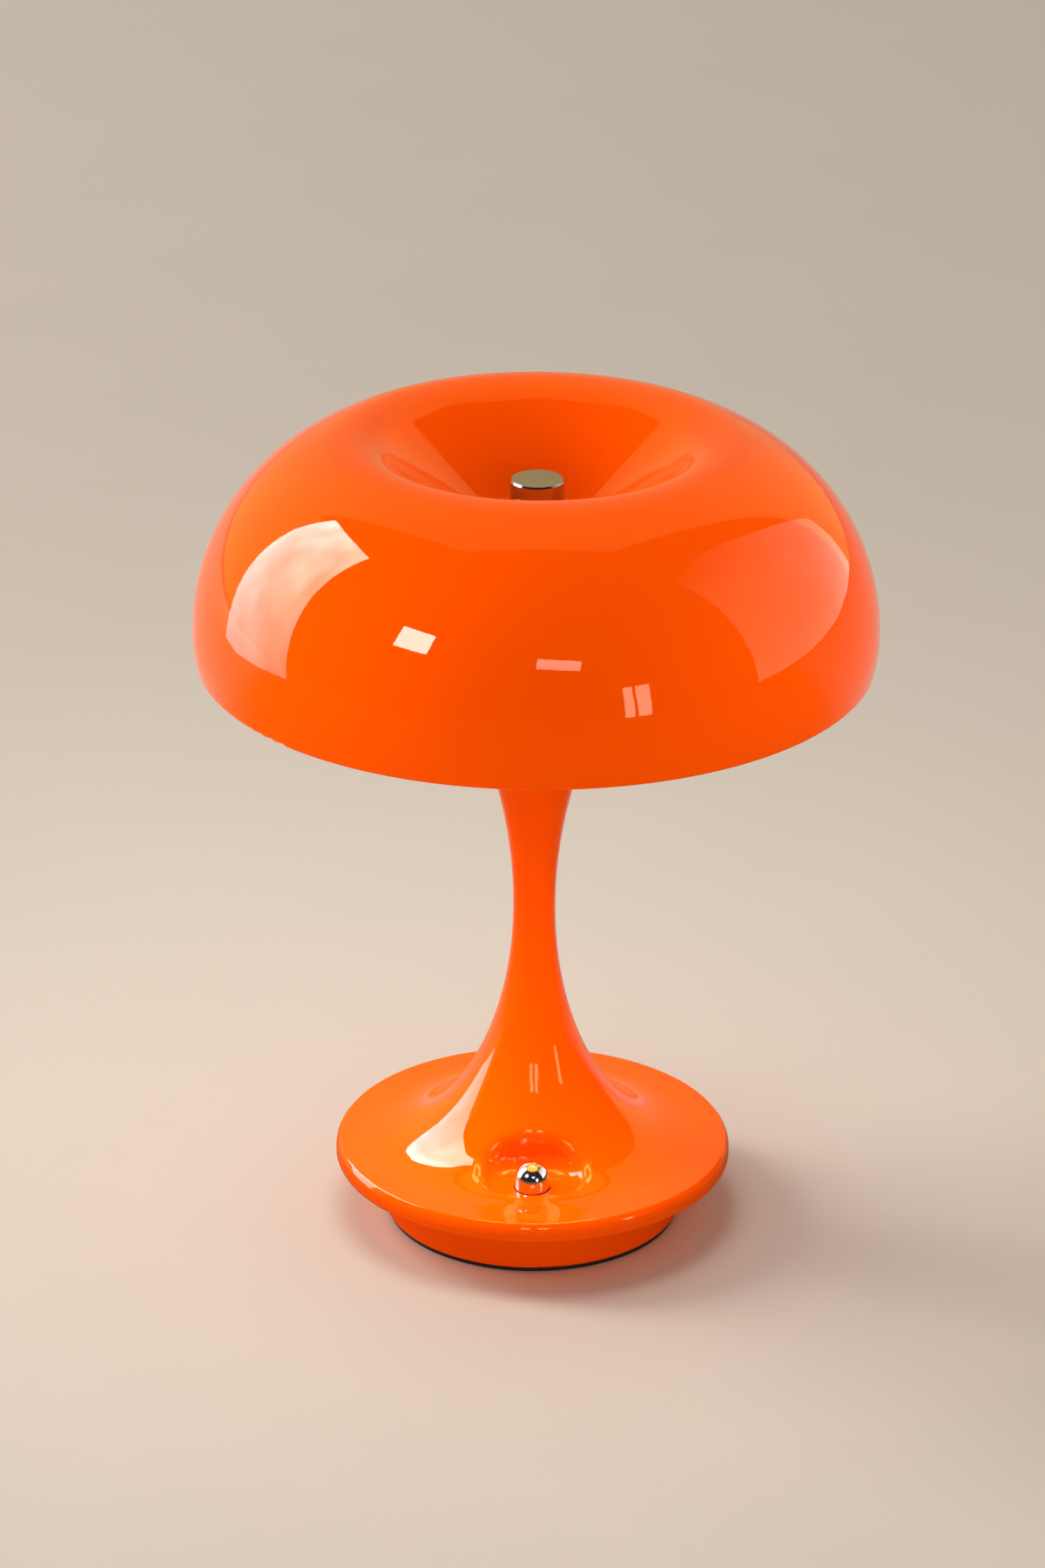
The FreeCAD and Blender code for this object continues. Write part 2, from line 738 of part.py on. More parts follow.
# Control board with the switch under the button
control_top = control_board_height + board_thickness
control_board_edge = tray_width / 2 - cell_offset + control_board_gap
board_edge = plinth_inner - side_gap
control = disc(board_edge, control_board_height, control_top)
keep = block(2 * board_edge, board_edge, control_board_height, control_top, 0, -control_board_edge - board_edge / 2)
control = control.common(keep)
post_y = -control_board_edge - post_row
post_places = [(-post_spread, post_y), (post_spread, post_y), (0, -control_board_edge - middle_post_row)]
charge_y = board_edge - charge_board_depth / 2 - charge_board_back
charge_post_y = charge_y - charge_post_row
charge_places = [(-charge_post_spread, charge_post_y), (charge_post_spread, charge_post_y)]
for angle in column_angles[2:]:
    x, y = on_circle(column_circle, angle)
    control = control.cut(disc(column_radius + side_gap, control_board_height, control_top, x, y))
    rib = block(plinth_radius, column_radius + 2 * side_gap, control_board_height, control_top, plinth_radius / 2)
    rib.translate(Vector(column_circle, 0, 0))
    rib.rotate(Vector(0, 0, 0), Vector(0, 0, 1), angle)
    control = control.cut(rib)
charge_top = charge_board_height + board_thickness
charge = block(charge_board_width, charge_board_depth, charge_board_height, charge_top, 0, charge_y)
board_posts = []
board_screws = []
screw_hole = screw_shank + seat_gap
for x, y in post_places:
    control = control.cut(disc(screw_hole, control_board_height, control_top, x, y))
    post_low = control_top - board_screw_length - body_gap
    pillar = disc(board_post_radius, plate_top, control_board_height, x, y)
    board_posts.append(pillar.cut(disc(screw_hole, post_low, control_board_height, x, y)))
    board_screws.append(screw(x, y, control_top, False, board_screw_length, board_screw_head, screw_head_height))
charge_screw_length = board_thickness + (charge_board_height - plate_top) * 0.6
for x, y in charge_places:
    charge = charge.cut(disc(screw_hole, charge_board_height, charge_top, x, y))
    post_low = charge_top - charge_screw_length - body_gap
    pillar = disc(board_post_radius, plate_top, charge_board_height, x, y)
    board_posts.append(pillar.cut(disc(screw_hole, post_low, charge_board_height, x, y)))
    board_screws.append(screw(x, y, charge_top, False, charge_screw_length, board_screw_head, screw_head_height))
save("control_board", control)
save("charge_board", charge)
save("board_posts", Part.makeCompound(board_posts))
save("board_screws", Part.makeCompound(board_screws))
driver_y = -control_board_edge - driver_row
driver_chip = block(driver_size, driver_size, control_top, control_top + driver_height, -driver_x, driver_y)
coil_y = -control_board_edge - coil_row
coil_box = block(coil_size, coil_size, control_top, control_top + coil_height, coil_x, coil_y)
capacitor_y = -control_board_edge - capacitor_row
capacitor = disc(capacitor_radius, control_top, control_top + capacitor_height, capacitor_x, capacitor_y)
plug_y = -control_board_edge - plug_row
plug_box = block(plug_width, plug_depth, control_top, control_top + plug_height, -plug_x, plug_y)
save("board_parts", Part.makeCompound([driver_chip, coil_box, capacitor, plug_box]))
chip_y = charge_y + charge_chip_row
charge_chip = block(charge_chip_size, charge_chip_size, charge_top, charge_top + charge_chip_height, charge_chip_x, chip_y)
box_y = charge_y - charge_box_row
charge_box = block(charge_box_width, charge_box_depth, charge_top, charge_top + charge_box_height, 0, box_y)
save("charge_parts", Part.makeCompound([charge_chip, charge_box]))

# Button and switch
switch_top = control_top + switch_height
plunger_top = switch_top + button_travel + plunger_show
plunger_low = switch_top - plunger_inside
clip_top = bush_low - bush_flange_thickness
clip_low = clip_top - clip_thickness
cap_low = pad - cap_sink
dome_centre = pad + cap_straight
cap_roof = dome_centre + running
switch_case = block(switch_width, switch_width, control_top, switch_top, 0, button_y)
plunger_pocket = disc(plunger_radius + running, plunger_low - button_travel - body_gap, switch_top, 0, button_y)
save("switch_body", switch_case.cut(plunger_pocket))
save("switch_plunger", disc(plunger_radius, plunger_low, plunger_top, 0, button_y))
pin = disc(pin_radius, plunger_top, cap_roof + pin_hold, 0, button_y)
groove_radius = pin_radius - clip_groove
groove = ring(groove_radius, pin_radius + 1, clip_low, clip_top, 0, button_y)
save("button_stem", pin.cut(groove))
clip = ring(groove_radius + seat_gap, clip_radius, clip_low, clip_top, 0, button_y)
clip_mouth = block(2 * groove_radius, clip_radius + 1, clip_low, clip_top, 0, button_y + (clip_radius + 1) / 2)
save("button_clip", clip.cut(clip_mouth))
cap = spin([
    line(point(cap_bore, cap_low), point(cap_radius, cap_low)),
    line(point(cap_radius, cap_low), point(cap_radius, dome_centre)),
    arc_round(point(0, dome_centre), cap_radius, 0, 90),
    line(point(0, dome_centre + cap_radius), point(0, cap_roof + pin_hold)),
    line(point(0, cap_roof + pin_hold), point(pin_radius + seat_gap, cap_roof + pin_hold)),
    line(point(pin_radius + seat_gap, cap_roof + pin_hold), point(pin_radius + seat_gap, cap_roof)),
    line(point(pin_radius + seat_gap, cap_roof), point(cap_bore, cap_roof)),
    line(point(cap_bore, cap_roof), point(cap_bore, cap_low)),
], 0, button_y)
save("button_cap", cap)
bush = ring(pin_radius + running, bush_radius, bush_low, bush_top, 0, button_y)
bush = bush.fuse(ring(pin_radius + running, bush_flange_radius, clip_top, bush_low, 0, button_y))
save("button_bush", bush.removeSplitter())
spring_low = cap_seat + spring_wire + seat_gap
spring_high = cap_roof - spring_wire - seat_gap
save("button_spring", sweep(coil_path(spring_radius, spring_turns, spring_low, spring_high, 0, button_y), spring_wire))

# Wires
board_point = -control_board_edge - lead_end_inset
run_level = cell_top + lead_radius + lead_lift
lead_hop = run_level + lead_lift
led_pad = -(led_board_inner + led_pad_inset)
cell_end = cell_offset - cell_width / 2 + cell_lead_inset
charge_end = charge_y - charge_lead_inset
for name, side in (("led_lead_red", lead_spread), ("led_lead_black", -lead_spread)):
    route = [
        Vector(side, board_point, control_top),
        Vector(side, board_point, run_level),
        Vector(side, 0, run_level),
        Vector(side, 0, lead_level),
        Vector(side, led_pad, lead_level),
        Vector(side, led_pad, led_board_top),
    ]
    save(name, sweep(bent_path(route, lead_bend), lead_radius))
cell_pair = []
charge_pair = []
for side in (-lead_spread, lead_spread):
    cell_route = [
        Vector(cell_lead_x + side, cell_end, cell_top),
        Vector(cell_lead_x + side, cell_end, lead_hop),
        Vector(cell_lead_x + side, board_point, lead_hop),
        Vector(cell_lead_x + side, board_point, control_top),
    ]
    cell_pair.append(sweep(bent_path(cell_route, lead_bend), lead_radius))
    charge_route = [
        Vector(-charge_lead_x + side, charge_end, charge_top),
        Vector(-charge_lead_x + side, charge_end, lead_hop),
        Vector(-charge_lead_x + side, board_point, lead_hop),
        Vector(-charge_lead_x + side, board_point, control_top),
    ]
    charge_pair.append(sweep(bent_path(charge_route, lead_bend), lead_radius))
save("battery_lead", Part.makeCompound(cell_pair))
save("charge_lead", Part.makeCompound(charge_pair))
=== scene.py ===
import json
import math
import bmesh
import bpy
from mathutils import Matrix, Vector


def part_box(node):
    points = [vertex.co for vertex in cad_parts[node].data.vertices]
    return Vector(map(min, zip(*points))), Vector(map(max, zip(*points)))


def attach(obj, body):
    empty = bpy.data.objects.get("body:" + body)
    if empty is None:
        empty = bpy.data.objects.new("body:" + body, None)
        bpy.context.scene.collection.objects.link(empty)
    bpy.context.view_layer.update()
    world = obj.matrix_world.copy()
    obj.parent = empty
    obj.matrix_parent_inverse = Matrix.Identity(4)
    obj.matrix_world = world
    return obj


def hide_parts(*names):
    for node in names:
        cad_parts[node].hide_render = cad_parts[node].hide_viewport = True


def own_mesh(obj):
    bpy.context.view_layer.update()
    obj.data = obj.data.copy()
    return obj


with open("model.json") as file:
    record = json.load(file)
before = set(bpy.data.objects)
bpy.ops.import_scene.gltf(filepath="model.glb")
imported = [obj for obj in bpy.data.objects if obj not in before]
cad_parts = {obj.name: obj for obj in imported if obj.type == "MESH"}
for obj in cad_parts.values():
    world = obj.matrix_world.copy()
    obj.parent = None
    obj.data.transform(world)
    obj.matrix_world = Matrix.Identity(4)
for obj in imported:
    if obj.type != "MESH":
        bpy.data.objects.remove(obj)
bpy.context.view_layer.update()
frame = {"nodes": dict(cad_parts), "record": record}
nodes = frame["nodes"]
scene = bpy.context.scene
scene.view_settings.view_transform = "Standard"
print("frame loaded with", len(nodes), "nodes")


class Wire:
    # a node socket; sums on it add Math nodes
    def __init__(self, tree, socket=None):
        self.tree = tree
        self.socket = socket

    def add(self, kind, settings, inputs, output=0):
        node = self.tree.nodes.new(kind)
        for key, value in settings.items():
            setattr(node, key, value)
        for key, value in inputs.items():
            self.feed(node.inputs[key], value)
        return Wire(self.tree, node.outputs[output])

    def feed(self, target, value):
        if isinstance(value, Wire):
            self.tree.links.new(value.socket, target)
        else:
            target.default_value = value

    def maths(self, operation, *values):
        return self.add("ShaderNodeMath", {"operation": operation}, dict(enumerate(values)))

    def __add__(self, other):
        return self.maths("ADD", self, other)

    def __sub__(self, other):
        return self.maths("SUBTRACT", self, other)

    def __rsub__(self, other):
        return self.maths("SUBTRACT", other, self)

    def __mul__(self, other):
        return self.maths("MULTIPLY", self, other)

    __radd__ = __add__
    __rmul__ = __mul__

    def part(self, axis):
        return self.add("ShaderNodeSeparateXYZ", {}, {0: self}, axis)

    def noise(self, scale, detail):
        return self.add("ShaderNodeTexNoise", {}, {"Vector": self, "Scale": scale, "Detail": detail})

    def span(self, low, high, smooth=False):
        # 0 at low, 1 at high
        settings = {"interpolation_type": "SMOOTHSTEP"} if smooth else {}
        limits = {"Value": self, "From Min": low, "From Max": high}
        return self.add("ShaderNodeMapRange", settings, limits)

    def blend(self, low, high):
        # colour low where this is 0, high where it is 1
        return self.add("ShaderNodeMix", {"data_type": "RGBA"}, {"Factor": self, 6: low, 7: high}, 2)


# camera, from the outlines of shade, dish and foot
cameraSet = {"place": (0, -1.584, 0.843), "focal": 6117, "frameHeight": 1800,
             "down": 23.54, "turn": 0.148, "roll": 0.352}


def placeCamera(values):
    data = bpy.data.cameras.new("photoCamera")
    data.lens = values["focal"] / values["frameHeight"] * data.sensor_width
    camera = bpy.data.objects.new("photoCamera", data)
    scene.collection.objects.link(camera)
    swing = Matrix.Rotation(math.radians(values["turn"]), 4, "Z")
    tip = Matrix.Rotation(math.radians(90 - values["down"]), 4, "X")
    lean = Matrix.Rotation(math.radians(values["roll"]), 4, "Z")
    camera.matrix_world = Matrix.Translation(values["place"]) @ swing @ tip @ lean
    scene.camera = camera


placeCamera(cameraSet)
print("camera placed")

# pale floor; its near side is painted darker in the gloss only, a painted dim reflection of the floor
floorSet = {"size": 12.0, "squares": 8, "colour": (0.63, 0.555, 0.475, 1), "shade": (0.60, 0.53, 0.45, 1),
            "mirrored": (0.24, 0.15, 0.05, 1), "dimUpTo": (0.05, 0.3), "cloud": 9.0, "cloudDetail": 3.0,
            "rough": 0.85, "shine": 0.15}


def layFloor(values):
    shape = bmesh.new()
    bmesh.ops.create_grid(shape, x_segments=values["squares"], y_segments=values["squares"],
                          size=values["size"] / 2)
    mesh = bpy.data.meshes.new("studioFloor")
    shape.to_mesh(mesh)
    shape.free()
    floor = bpy.data.objects.new("studioFloor", mesh)
    scene.collection.objects.link(floor)
    material, wire, shader = newMaterial("studioPaper")
    place = wire.add("ShaderNodeTexCoord", {}, {}, "Object")
    tone = place.noise(values["cloud"], values["cloudDetail"]).blend(values["shade"], values["colour"])
    # painted reflection: glossy rays see the near floor in the darker mirrored colour, not its own tone
    dimmed, full = values["dimUpTo"]
    dimReflectionMask = place.part("Y").span(full, dimmed, smooth=True)
    mirrored = wire.add("ShaderNodeLightPath", {}, {}, "Is Glossy Ray") * dimReflectionMask
    wire.feed(shader.inputs["Base Color"], mirrored.blend(tone, values["mirrored"]))
    shader.inputs["Roughness"].default_value = values["rough"]
    shader.inputs["Specular IOR Level"].default_value = values["shine"]
    mesh.materials.append(material)
    return floor


def newMaterial(name):
    material = bpy.data.materials.new(name)
    material.use_nodes = True
    return material, Wire(material.node_tree), material.node_tree.nodes["Principled BSDF"]


floor = layFloor(floorSet)

# soft lamps, unseen in the gloss; "for" names the group that a lamp lights
lampSet = {
    "keyLeft": {"place": (-3.6, 1.2, 2.3), "aim": (0, 0, 0.1), "size": (1.3, 3.2), "power": 165.0},
    "frontLow": {"place": (0.3, -2.2, 0.3), "aim": (0, 0, 0.15), "size": (2.4, 1.2), "power": 23.0, "for": "lamp"},
    "shadeFront": {"place": (0.3, -2.2, 0.3), "aim": (0, 0, 0.2), "size": (2.4, 1.2), "power": 7.0, "for": "shade"},
    "rightFill": {"place": (1.2, 0.2, 0.75), "aim": (0, 0, 0.15), "size": (1.2, 1.2), "power": 15.0, "for": "shade"},
    "leftFill": {"place": (-1.5, -0.1, 0.35), "aim": (0, 0, 0.2), "size": (1.0, 1.0), "power": 18.0, "for": "shade"},
    "dishGlow": {"place": (-0.02, -0.01, 0.192), "aim": (-0.02, -0.01, 0), "size": (0.16, 0.16), "round": True,
                 "power": 0.21, "spread": 80, "for": "foot"},
    "floorPool": {"place": (-0.06, 0.02, 0.5), "aim": (-0.06, 0.02, 0), "size": (0.3, 0.3), "round": True,
                  "power": 1.4, "for": "floor", "blockers": "foot"},
    "dishBounce": {"place": (0, 0, 0.019), "aim": (0, 0, 0), "size": (0.124, 0.124), "round": True,
                   "power": 0.024, "colour": (1, 0.3, 0.08), "for": "floor"},
}
# panels, seen only in the gloss; low and high are the levels at foot and top, slant cuts a corner off
panelSet = {
    "leftBox": {"place": (-1.2, 0.39, 0.83), "aim": (0, 0.39, 0.83), "size": (0.78, 1.62), "lean": 9, "glow": 16.5,
                "colour": (0.9, 0.93, 1.2), "low": 0.2, "high": 1.0, "cloud": 3.0, "for": "shade"},
    "rightBox": {"place": (1.2, 0.475, 1.05), "aim": (0, 0.475, 1.05), "size": (1.65, 1.7), "glow": 1.2,
                 "low": 1.7, "high": 0.05, "cloud": 1.0, "slant": (1.35, -1.02, -1.0), "for": "shade"},
    "windowLeft": {"place": (-1.26, -1.26, 1.31), "aim": (-0.04, -0.09, 0.24), "size": (0.42, 0.36), "glow": 24.0,
                   "colour": (0.9, 1, 1.7), "for": "shade"},
    "windowTop": {"place": (0.25, -1.82, 1.17), "aim": (0, -0.1, 0.24), "size": (0.5, 0.18), "lean": -8, "glow": 7.0,
                  "colour": (0.9, 1, 1.6), "for": "shade"},
    "windowPane": {"place": (1.05, -1.82, 0.43), "aim": (0.03, -0.1, 0.22), "size": (0.14, 0.55), "glow": 7.0,
                   "colour": (0.9, 1, 1.3), "for": "shade"},
    "windowPaneTwo": {"place": (1.19, -1.72, 0.43), "aim": (0.03, -0.1, 0.22), "size": (0.14, 0.55), "glow": 7.0,
                      "colour": (0.9, 1, 1.3), "for": "shade"},
    "leftBoxLow": {"place": (-1.2, 1.31, 1.15), "aim": (0, 1.31, 1.15), "size": (2.18, 2.1), "glow": 18.0,
                   "colour": (0.9, 0.95, 1.35), "low": 0.35, "high": 1.0, "cloud": 2.5,
                   "slant": (-0.80, 0.99, 1.0), "for": "foot"},
    "shadeGlow": {"place": (0, 0, 0.195), "aim": (0, 0, 0), "size": (0.19, 0.19), "round": True, "glow": 1.5,
                  "colour": (1, 0.5, 0.06), "for": "under"},
    "bulbGlow": {"place": (0, 0, 0.1945), "aim": (0, 0, 0), "size": (0.11, 0.11), "round": True, "glow": 9.0,
                 "colour": (1, 0.72, 0.3), "for": "foot"},
    "streakOne": {"place": (-0.12, -1.85, 0.92), "aim": (0, 0, 0.06), "size": (0.2, 0.4), "glow": 7.0, "for": "foot"},
    "streakTwo": {"place": (0.22, -1.85, 0.92), "aim": (0, 0, 0.06), "size": (0.2, 0.4), "glow": 7.0, "for": "foot"},
    "streakSide": {"place": (1.6, -1.1, 0.62), "aim": (0, 0, 0.06), "size": (0.2, 0.45), "glow": 7.0, "for": "foot"},
}
# shared by all lamps and panels
glowSet = {"colour": (1, 0.97, 0.93), "spread": 180, "lean": 0, "cloudDetail": 2.0, "cloudDepth": 1.4,
           "cloudBase": 0.3, "slantEdge": 0.02}


def gradePanel(data, lamp, shared):
    data.use_nodes = True
    wire = Wire(data.node_tree)
    place = wire.add("ShaderNodeNewGeometry", {}, {}, "Parametric")
    cloud = place.noise(lamp["cloud"], shared["cloudDetail"])
    rise = place.part("Y")
    level = rise * (lamp["high"] - lamp["low"]) + lamp["low"]
    if "slant" in lamp:
        start, sideways, upwards = lamp["slant"]
        inside = place.part("X") * sideways + rise * upwards + start
        level = level * inside.span(0.0, shared["slantEdge"])
    strength = level * (cloud * shared["cloudDepth"] + shared["cloudBase"])
    wire.feed(data.node_tree.nodes["Emission"].inputs["Strength"], strength)


def hangLamp(name, lamp, shared):
    data = bpy.data.lights.new(name, "AREA")
    data.shape = "DISK" if "round" in lamp else "RECTANGLE"
    data.size, data.size_y = lamp["size"]
    area = data.size * data.size_y
    data.energy = lamp["power"] if "power" in lamp else lamp["glow"] * math.pi * area
    data.color = lamp.get("colour", shared["colour"])
    data.spread = math.radians(lamp.get("spread", shared["spread"]))
    if "cloud" in lamp:
        gradePanel(data, lamp, shared)
    holder = bpy.data.objects.new(name, data)
    scene.collection.objects.link(holder)
    aim = Vector(lamp["aim"]) - Vector(lamp["place"])
    lean = Matrix.Rotation(math.radians(lamp.get("lean", shared["lean"])), 3, "Z")
    holder.rotation_euler = (aim.to_track_quat("-Z", "Y").to_matrix() @ lean).to_euler()
    holder.location = lamp["place"]
    holder.visible_camera = False
    holder.visible_glossy = "glow" in lamp
    holder.visible_diffuse = "power" in lamp
    return holder


allLamps = {**lampSet, **panelSet}
lampHolders = {name: hangLamp(name, lamp, glowSet) for name, lamp in allLamps.items()}

# room: air lights everything, the gloss colours are only mirrored, seen is the backdrop
roomSet = {"air": (0.42, 0.415, 0.405, 1), "seen": (0.31, 0.265, 0.21, 1),
           "glossLow": (0.58, 0.46, 0.24, 1), "glossSide": (1.0, 0.72, 0.27, 1),
           "glossHigh": (1.0, 0.70, 0.27, 1), "glossFront": (0.02, 0.018, 0.015, 1),
           "edge": (0.03, 0.08), "widest": 0.27, "steepness": 1.6, "crown": (0.42, 0.62),
           "rise": (0.45, 0.85), "side": (0.25, 0.5)}


def lightRoom(values):
    world = bpy.data.worlds.new("studio")
    world.use_nodes = True
    scene.world = world
    wire = Wire(world.node_tree)
    heading = wire.add("ShaderNodeTexCoord", {}, {}, "Generated")
    across, depth, height = (heading.part(axis) for axis in "XYZ")
    # dark in front, with an edge that turns back at the sides
    crown = height.span(*values["crown"])
    reach = wire.maths("MAXIMUM", across, crown * across * -1)
    turned = wire.maths("MAXIMUM", reach - values["widest"], 0) * values["steepness"]
    behind = (depth - turned).span(*values["edge"], smooth=True)
    aside = wire.maths("ABSOLUTE", across).span(*values["side"])
    low = aside.blend(values["glossLow"], values["glossSide"])
    back = height.span(*values["rise"]).blend(low, values["glossHigh"])
    gloss = behind.blend(values["glossFront"], back)
    mirrored = wire.add("ShaderNodeLightPath", {}, {}, "Is Glossy Ray")
    straight = wire.add("ShaderNodeLightPath", {}, {}, "Is Camera Ray")
    shown = straight.blend(mirrored.blend(values["air"], gloss), values["seen"])
    wire.feed(world.node_tree.nodes["Background"].inputs["Color"], shown)


lightRoom(roomSet)
print("floor, lamps and room set")

# gloss orange of shade, stem and drum
orangeSet = {"colour": (0.93, 0.079, 0.0, 1), "deep": (0.90, 0.073, 0.0, 1), "cloud": 22.0, "cloudDetail": 2.0,
             "rough": 0.012, "roughCloud": 0.015, "peel": 0.006, "peelSize": 700.0, "peelDetail": 1.0,
             "peelDepth": 0.0002, "bend": 1.46, "sheen": (1, 0.85, 0.42, 1)}


def glossOrange(name, values):
    material, wire, shader = newMaterial(name)
    place = wire.add("ShaderNodeTexCoord", {}, {}, "Object")
    cloud = place.noise(values["cloud"], values["cloudDetail"])
    grain = place.noise(values["peelSize"], values["peelDetail"])
    wire.feed(shader.inputs["Base Color"], cloud.blend(values["deep"], values["colour"]))
    wire.feed(shader.inputs["Roughness"], cloud * values["roughCloud"] + values["rough"])
    peel = wire.add("ShaderNodeBump", {}, {"Strength": values["peel"], "Distance": values["peelDepth"],
                                           "Height": grain})
    wire.feed(shader.inputs["Normal"], peel)
    shader.inputs["IOR"].default_value = values["bend"]
    shader.inputs["Specular Tint"].default_value = values["sheen"]
    return material


# metals: colour, roughness, and the size and depth of their tool marks
metalSet = {
    "polished_nickel": {"colour": (0.47, 0.43, 0.38), "rough": 0.14, "marks": 300, "depth": 0.05},
    # bright chrome is tinted warm, partly its own colour and partly a painted orange reflection
    "bright_chrome": {"colour": (0.80, 0.73, 0.68), "rough": 0.13, "marks": 200, "depth": 0.01},
    "zinc_steel": {"colour": (0.62, 0.63, 0.65), "rough": 0.3, "marks": 500, "depth": 0.1},
    "dark_plate": {"colour": (0.06, 0.06, 0.065), "rough": 0.45, "marks": 900, "depth": 0.25},
    "turned_aluminium": {"colour": (0.78, 0.78, 0.79), "rough": 0.28, "marks": 600, "depth": 0.1},
    "cast_weight": {"colour": (0.09, 0.09, 0.092), "rough": 0.6, "marks": 260, "depth": 0.5},
    "brass_posts": {"colour": (0.75, 0.55, 0.26), "rough": 0.25, "marks": 500, "depth": 0.08},
}
# shared by all metals
wearSet = {"smudge": 60.0, "smudgeDetail": 2.0, "marksDetail": 4.0, "dull": 0.86, "roughLow": 0.75, "roughSpan": 0.5,
           "relief": 0.0002}


def metalFinish(name, values, wear):
    material, wire, shader = newMaterial(name)
    place = wire.add("ShaderNodeTexCoord", {}, {}, "Object")
    marks = place.noise(values["marks"], wear["marksDetail"])
    smudge = place.noise(wear["smudge"], wear["smudgeDetail"])
    bright = values["colour"] + (1,)
    dull = tuple(part * wear["dull"] for part in values["colour"]) + (1,)
    wire.feed(shader.inputs["Base Color"], smudge.blend(dull, bright))
    rough = marks * values["rough"] * wear["roughSpan"] + values["rough"] * wear["roughLow"]
    wire.feed(shader.inputs["Roughness"], rough)
    bump = wire.add("ShaderNodeBump", {}, {"Strength": values["depth"], "Distance": wear["relief"],
                                           "Height": marks})
    wire.feed(shader.inputs["Normal"], bump)
    shader.inputs["Metallic"].default_value = 1.0
    return material


# plastics, rubber, boards and wires: colour, roughness, and the size and depth of their grain
plasticSet = {
    "black_rubber": {"colour": (0.012, 0.012, 0.012), "rough": 0.75, "grain": 1200, "depth": 0.3},
    "clear_silicone": {"colour": (0.62, 0.60, 0.56), "rough": 0.35, "grain": 500, "depth": 0.1},
    "opal_plastic": {"colour": (0.86, 0.85, 0.82), "rough": 0.32, "grain": 800, "depth": 0.06},
    "white_board": {"colour": (0.82, 0.82, 0.79), "rough": 0.4, "grain": 900, "depth": 0.1},
    "led_phosphor": {"colour": (0.86, 0.66, 0.12), "rough": 0.45, "grain": 2500, "depth": 0.25},
    "green_board": {"colour": (0.012, 0.11, 0.045), "rough": 0.3, "grain": 900, "depth": 0.1},
    "black_plastic": {"colour": (0.02, 0.02, 0.022), "rough": 0.42, "grain": 1500, "depth": 0.2},
    "cell_wrap": {"colour": (0.11, 0.16, 0.30), "rough": 0.3, "grain": 200, "depth": 0.15},
    "white_nylon": {"colour": (0.80, 0.79, 0.75), "rough": 0.45, "grain": 700, "depth": 0.1},
    "red_lead": {"colour": (0.50, 0.02, 0.015), "rough": 0.4, "grain": 900, "depth": 0.1},
    "black_lead": {"colour": (0.02, 0.02, 0.02), "rough": 0.4, "grain": 900, "depth": 0.1},
}
# shared by all plastics
mouldSet = {"cloud": 45.0, "cloudDetail": 2.0, "grainDetail": 3.0, "light": 1.08, "dark": 0.9, "roughSpan": 0.1,
            "relief": 0.0002}


def plasticFinish(name, values, mould):
    material, wire, shader = newMaterial(name)
    place = wire.add("ShaderNodeTexCoord", {}, {}, "Object")
    grain = place.noise(values["grain"], mould["grainDetail"])
    cloud = place.noise(mould["cloud"], mould["cloudDetail"])
    light = tuple(min(1, part * mould["light"]) for part in values["colour"]) + (1,)
    dark = tuple(part * mould["dark"] for part in values["colour"]) + (1,)
    wire.feed(shader.inputs["Base Color"], cloud.blend(dark, light))
    rough = grain * mould["roughSpan"] + (values["rough"] - mould["roughSpan"] / 2)
    wire.feed(shader.inputs["Roughness"], rough)
    bump = wire.add("ShaderNodeBump", {}, {"Strength": values["depth"], "Distance": mould["relief"],
                                           "Height": grain})
    wire.feed(shader.inputs["Normal"], bump)
    return material


finishes = {"orange_shade": glossOrange("shadeOrange", orangeSet),
            "orange_lacquer": glossOrange("lacquerOrange", orangeSet)}
finishes.update((name, metalFinish(name, values, wearSet)) for name, values in metalSet.items())
finishes.update((name, plasticFinish(name, values, mouldSet)) for name, values in plasticSet.items())

for entry in frame["record"]["subparts"]:
    mesh = nodes[entry["node"]].data
    mesh.materials.clear()
    mesh.materials.append(finishes[entry["material_slot"]])
print("finishes given to all nodes")


def newPiece(name, shape, body, slot):
    mesh = bpy.data.meshes.new(name)
    shape.to_mesh(mesh)
    shape.free()
    mesh.materials.append(finishes[slot])
    piece = bpy.data.objects.new(name, mesh)
    scene.collection.objects.link(piece)
    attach(piece, body)
    return piece


# threaded stud, in view when the shade is lifted
studSet = {"node": "shade_stud", "pitch": 0.0008, "rootShare": 0.83, "sides": 40,
           "body": "lamp_body", "slot": "zinc_steel"}


def ringUp(shape, cap, rise, scale, centre):
    grown = bmesh.ops.extrude_face_region(shape, geom=cap)["geom"]
    corners = [part for part in grown if isinstance(part, bmesh.types.BMVert)]
    bmesh.ops.translate(shape, verts=corners, vec=(0, 0, rise))
    bmesh.ops.scale(shape, verts=corners, vec=(scale, scale, 1), space=Matrix.Translation(-centre))
    return [part for part in grown if isinstance(part, bmesh.types.BMFace)]


def cutStud(values):
    low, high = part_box(values["node"])
    centre = (low + high) / 2
    root = (high.x - low.x) / 2 * values["rootShare"]
    turns = int((high.z - low.z) / values["pitch"])
    rise = (high.z - low.z) / turns / 2
    shape = bmesh.new()
    foot = Matrix.Translation((centre.x, centre.y, low.z))
    bmesh.ops.create_circle(shape, cap_ends=True, radius=root, segments=values["sides"], matrix=foot)
    caps = [list(shape.faces)]
    for scale in (1 / values["rootShare"], values["rootShare"]) * turns:
        caps.append(ringUp(shape, caps[-1], rise, scale, centre))
    spent = [face for cap in caps[1:-1] for face in cap]  # the rings' caps, inside the stud
    bmesh.ops.delete(shape, geom=spent, context="FACES_ONLY")
    bmesh.ops.recalc_face_normals(shape, faces=shape.faces)
    return newPiece("threadedStud", shape, values["body"], values["slot"])


stud = cutStud(studSet)
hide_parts(studSet["node"])

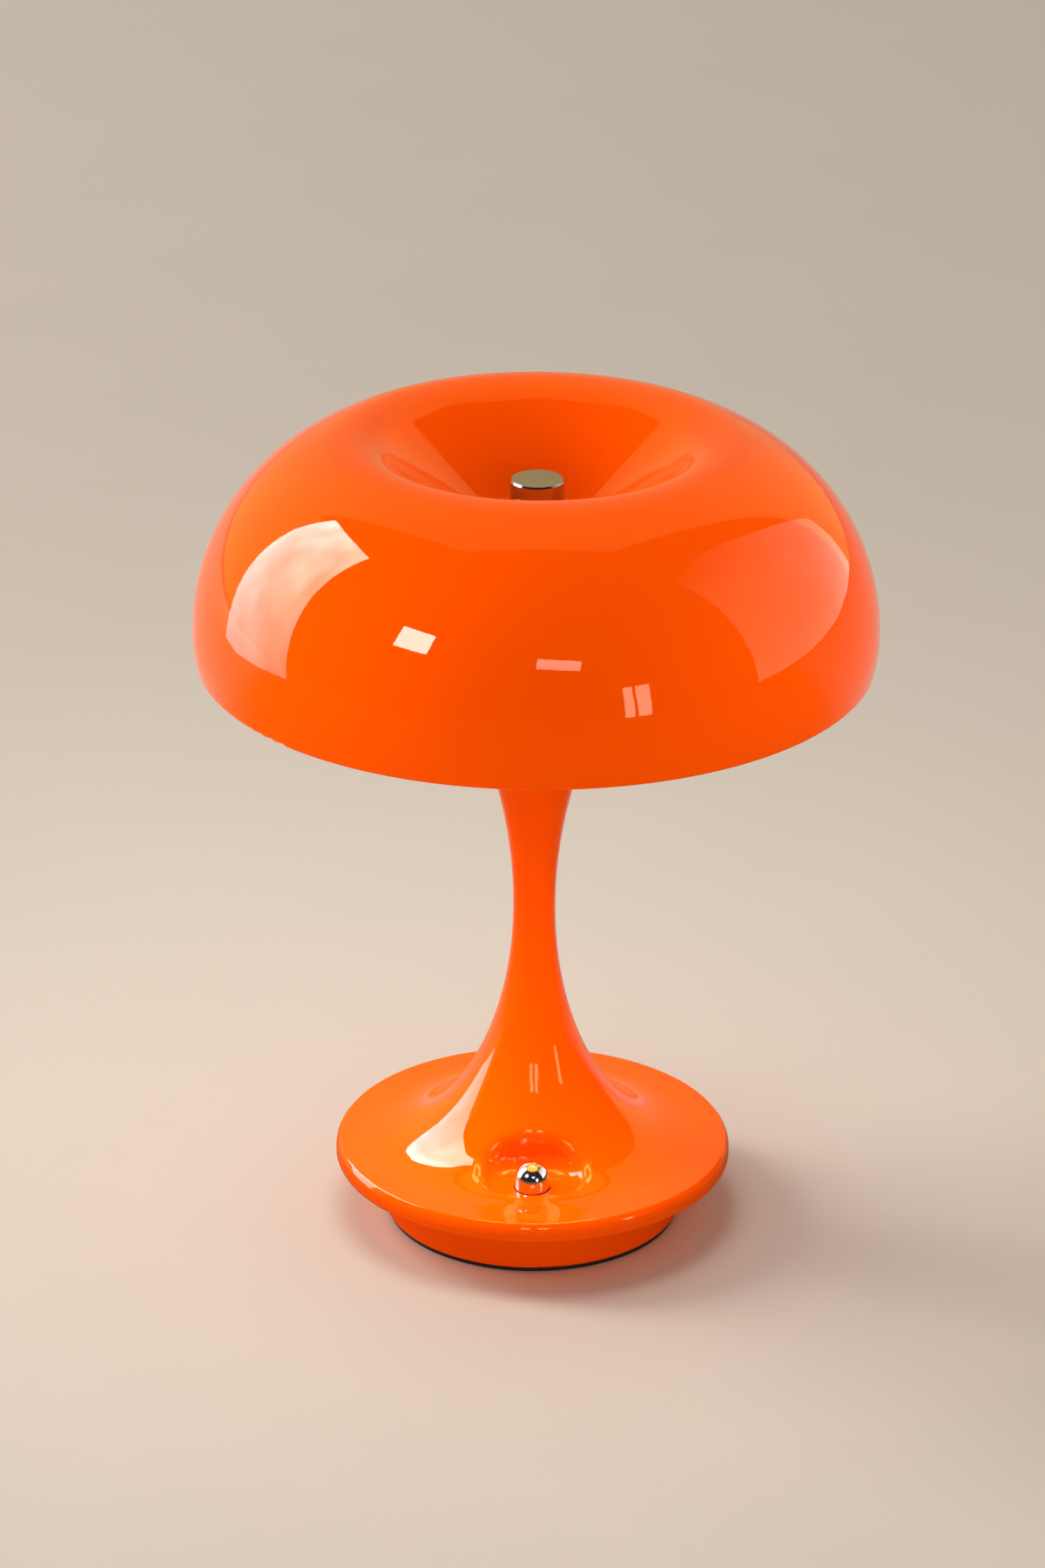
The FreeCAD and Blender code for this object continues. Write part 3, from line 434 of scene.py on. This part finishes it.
# gold pads on both sides of the inlet's tongue
padSet = {"node": "usb_tongue", "each": 12, "pitch": 0.0005, "width": 0.00028, "length": 0.0034, "setBack": 0.00204,
          "stand": 0.00003, "sunk": 0.00004, "body": "lamp_body", "slot": "brass_posts"}


def layPads(values):
    low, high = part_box(values["node"])
    thick = values["stand"] + values["sunk"]
    size = Matrix.Diagonal((values["width"], values["length"], thick, 1))
    first = (low.x + high.x) / 2 - (values["each"] - 1) / 2 * values["pitch"]
    middle = high.y - values["setBack"]
    shape = bmesh.new()
    for level in (low.z - values["stand"] + thick / 2, high.z + values["stand"] - thick / 2):
        for number in range(values["each"]):
            place = Matrix.Translation((first + number * values["pitch"], middle, level))
            bmesh.ops.create_cube(shape, size=1, matrix=place @ size)
    return newPiece("tonguePads", shape, values["body"], values["slot"])


pads = layPads(padSet)

# button's return spring, which on the real lamp shortens as the button goes down; here it is built at rest
springSet = {"node": "button_spring", "joint": "button_press", "travel": 0.0012, "wire": 0.0003, "turns": 4,
             "steps": 36, "sides": 12, "body": "lamp_body", "slot": "zinc_steel"}


def coilSpring(values):
    low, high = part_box(values["node"])
    centre = (low + high) / 2
    wire = values["wire"]
    steps = values["turns"] * values["steps"]
    shape = bmesh.new()
    start = Matrix.Translation((high.x - wire, centre.y, low.z + wire))
    upright = start @ Matrix.Rotation(math.radians(90), 4, "X")
    bmesh.ops.create_circle(shape, cap_ends=True, radius=wire, segments=values["sides"], matrix=upright)
    bmesh.ops.spin(shape, geom=shape.verts[:] + shape.edges[:] + shape.faces[:], cent=centre, axis=(0, 0, 1),
                   dvec=(0, 0, (high.z - low.z - 2 * wire) / steps), angle=math.tau * values["turns"], steps=steps)
    bmesh.ops.recalc_face_normals(shape, faces=shape.faces)
    return newPiece("returnSpring", shape, values["body"], values["slot"])


spring = coilSpring(springSet)
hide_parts(springSet["node"])
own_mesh(spring)
print("stud, pads and spring modelled")

# the groups that lamps and panels are for
seenBy = {"shade": [nodes["shade"], nodes["button_cap"], nodes["finial_knob"]],
          "foot": [nodes["stem_body"], nodes["plinth"], nodes["foot_ring"]],
          "under": [nodes["stem_body"], nodes["button_cap"]],
          "lamp": list(nodes.values()) + [stud, pads, spring], "floor": [floor]}
for groupName, members in seenBy.items():
    group = bpy.data.collections.new(groupName + "Light")
    for member in members:
        group.objects.link(member)
    for name, lamp in allLamps.items():
        if lamp.get("for") == groupName:
            lampHolders[name].light_linking.receiver_collection = group
        if lamp.get("blockers") == groupName:
            lampHolders[name].light_linking.blocker_collection = group
print("lamps and panels shared out")
